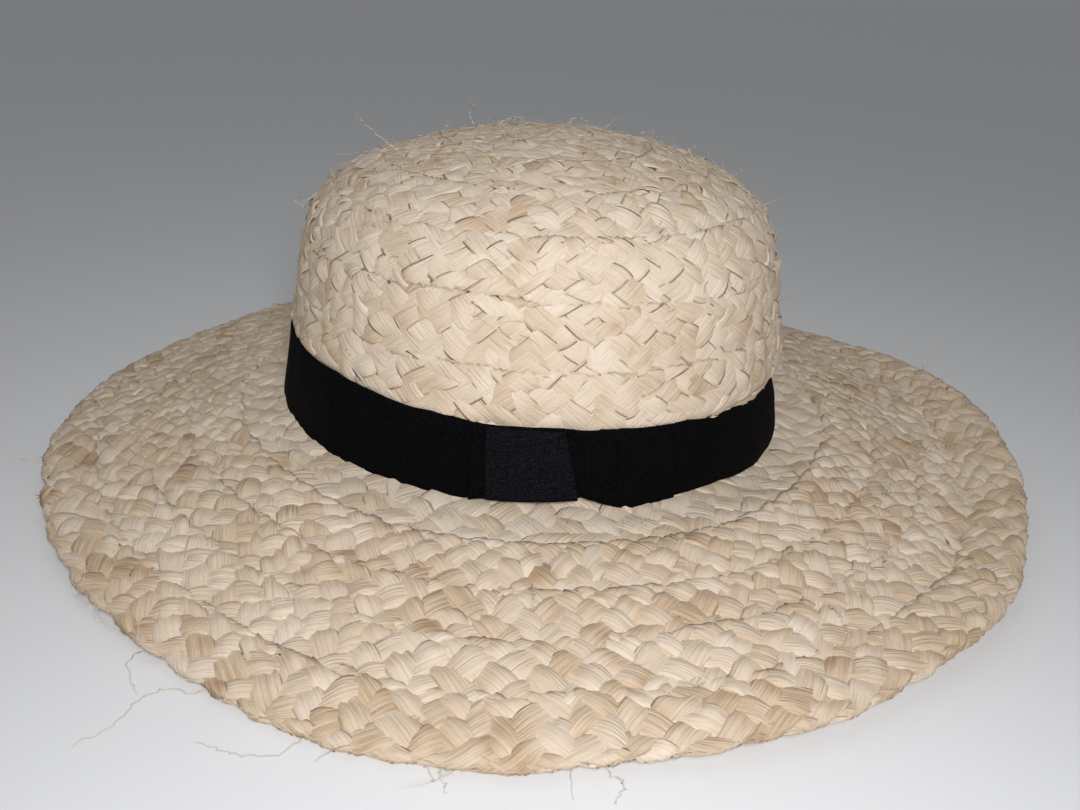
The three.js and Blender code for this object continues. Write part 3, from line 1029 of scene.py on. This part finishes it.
def ribbon_strip(name, inner, edges, angles, material, leans=((0, 0), (0, 0))):
    """A flat ribbon on edge round the crown; edges gives its lower and upper height by angle."""
    shares = np.concatenate([np.linspace(0, 1, RIBBON_ROWS), np.linspace(1, 0, RIBBON_ROWS)])
    layer = np.repeat([RIBBON_THICKNESS, 0], RIBBON_ROWS)
    left, right = (np.interp(shares, (0, 1), lean[::-1]) for lean in leans)
    part = ((angles - angles[0]) / (angles[-1] - angles[0]))[:, None]
    turn = angles[:, None] + np.radians(left * (1 - part) + right * part)
    low, high = edges(turn)
    height = low + (high - low) * shares
    share = (angles - angles[0]) / (2 * math.pi)
    swell = np.stack([ripple(share, BUCKLE_WAVES) for _ in range(BUCKLE_LINES)])
    places = np.linspace(0, 1, BUCKLE_LINES)
    weights = np.maximum(1 - np.abs(shares[:, None] - places) * (BUCKLE_LINES - 1), 0)
    radius = inner + layer + RIBBON_BUCKLE * np.einsum("ka,sk->as", swell, weights)
    points = crown_point(turn, radius, height)
    right_side = right_share(turn)
    foot = FOOT_SPREAD_LEFT + (FOOT_SPREAD_RIGHT - FOOT_SPREAD_LEFT) * right_side
    tuck = TOP_TUCK_LEFT + (TOP_TUCK_RIGHT - TOP_TUCK_LEFT) * right_side
    inward = tuck * shares ** (1 + right_side)
    points[..., 0] += (foot * (1 - shares) - inward) * np.cos(turn)
    points[..., 1] += FOOT_FLARE * (1 - shares) * np.sin(turn)
    along = (turn - angles[0]) * BAND_RADIUS
    weave = np.stack([along, height, radius], -1).reshape(-1, 3)
    sides = 2 * RIBBON_ROWS
    whole = angles[-1] - angles[0] > math.pi
    faces = loop_faces(len(angles), sides) if whole else tube_faces(len(angles), sides)
    piece = mesh_object(
        name, points.reshape(-1, 3), faces, material, [("weave", weave)]
    )
    if not whole:
        close_ends(piece, sides)
    return piece


def close_ends(piece, sides):
    """Faces across the two open ends of a strip."""
    shape = bmesh.new()
    shape.from_mesh(piece.data)
    shape.verts.ensure_lookup_table()
    last = len(shape.verts) - sides
    for ends in (range(sides), range(last, last + sides)):
        face = shape.faces.new([shape.verts[i] for i in ends])
        face.smooth = False
    bmesh.ops.recalc_face_normals(shape, faces=shape.faces)
    shape.to_mesh(piece.data)
    shape.free()


def lap_edges(angle):
    low, high = band_edges(angle)
    return low - LAP_SPARE, high + LAP_SPARE


def keeper_edges(angle):
    slant = KEEPER_SLANT * (np.degrees(angle) - KEEPER_ANGLE) / KEEPER_TURN
    low = RIBBON_LIFT + KEEPER_MARGIN + slant
    return low, RIBBON_LIFT + RIBBON_HEIGHT - KEEPER_MARGIN + 0 * angle


def arc_angles(from_angle, length, steps):
    return math.radians(from_angle) + np.linspace(0, length / BAND_RADIUS, steps + 1)


ring_angles = np.linspace(0, 2 * math.pi, BAND_STEPS, endpoint=False)
band = ribbon_strip(
    "band_ribbon", BAND_RADIUS - RIBBON_THICKNESS, band_edges, ring_angles, ribbon
)
lap = ribbon_strip(
    "lap_ribbon", BAND_RADIUS + CLEARANCE, lap_edges,
    arc_angles(LAP_ANGLE, LAP_LENGTH, LAP_STEPS), ribbon
)
keeper = ribbon_strip(
    "keeper_wrap", BAND_RADIUS + CLEARANCE + LAYER, keeper_edges,
    arc_angles(KEEPER_ANGLE, KEEPER_WIDTH, KEEPER_STEPS), keeper_ribbon,
    (KEEPER_LEFT, KEEPER_RIGHT),
)

woven = (*crown_rows, bend_row, *brim_rows)
fibres = (crown_fuzz, brim_fuzz, loose_threads, dark_threads)
for piece in (*woven, band, lap, keeper, *fibres):
    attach(piece, "root")
for piece in crown_rows:
    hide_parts("crown")
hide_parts("crown", "brim")
for piece in brim_rows:
    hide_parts("brim")
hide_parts("hat_band")
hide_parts("ribbon_lap")
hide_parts("band_keeper")


# Floor, lights and camera

def make_floor():
    bpy.ops.mesh.primitive_plane_add(size=FLOOR_SIZE, location=(0, 0, 0))
    floor = bpy.context.object
    floor.name = "floor"
    material, tree, shader = new_material("floor")
    color = ramp_node(tree, noise_node(tree, Scale=3), FLOOR_COLORS)
    feed(tree, shader.inputs, {"Base Color": color, "Roughness": 0.8})
    floor.data.materials.append(material)


def add_light(name, kind, power):
    lamp = bpy.data.lights.new(name, kind)
    lamp.energy = power
    light = bpy.data.objects.new(name, lamp)
    bpy.context.scene.collection.objects.link(light)
    return lamp, light


def soft_light(name, place, target, size, power):
    """A soft disk of light that shines from a place to a target."""
    lamp, light = add_light(name, "AREA", power)
    lamp.shape = "DISK"
    lamp.size = size
    light.location = place
    direction = Vector(target) - Vector(place)
    light.rotation_euler = direction.to_track_quat("-Z", "Y").to_euler()


def soft_sun(name, direction, strength, color):
    """Broad even light from a direction, as from a large soft box."""
    lamp, light = add_light(name, "SUN", strength)
    lamp.angle = math.radians(FILL_SPREAD)
    lamp.color = color
    light.rotation_euler = Vector(direction).to_track_quat("Z", "Y").to_euler()


def make_camera():
    lens = bpy.data.cameras.new("camera")
    lens.lens = LENS_LENGTH
    lens.sensor_width = LENS_SENSOR
    lens.shift_x, lens.shift_y = LENS_SHIFT
    lens.clip_start = CAMERA_NEAR
    camera = bpy.data.objects.new("camera", lens)
    bpy.context.scene.collection.objects.link(camera)
    bpy.context.scene.camera = camera
    right, up = Vector(CAMERA_RIGHT), Vector(CAMERA_UP)
    roll = math.radians(CAMERA_ROLL)
    across = math.cos(roll) * right + math.sin(roll) * up
    upward = -math.sin(roll) * right + math.cos(roll) * up
    axes = Matrix((across, upward, CAMERA_BACK)).transposed()
    camera.matrix_world = Matrix.Translation(CAMERA_PLACE) @ axes.to_4x4()


make_floor()
make_camera()
soft_light("key", KEY_PLACE, KEY_TARGET, KEY_SIZE, KEY_POWER)
soft_sun("fill", FILL_DIRECTION, FILL_STRENGTH, FILL_COLOR)
world = bpy.data.worlds.new("world")
bpy.context.scene.world = world
world.use_nodes = True
feed(world.node_tree, world.node_tree.nodes["Background"].inputs, {
    "Color": (1, 1, 1, 1),
    "Strength": WORLD_STRENGTH,
})
bpy.context.scene.view_settings.view_transform = "Standard"
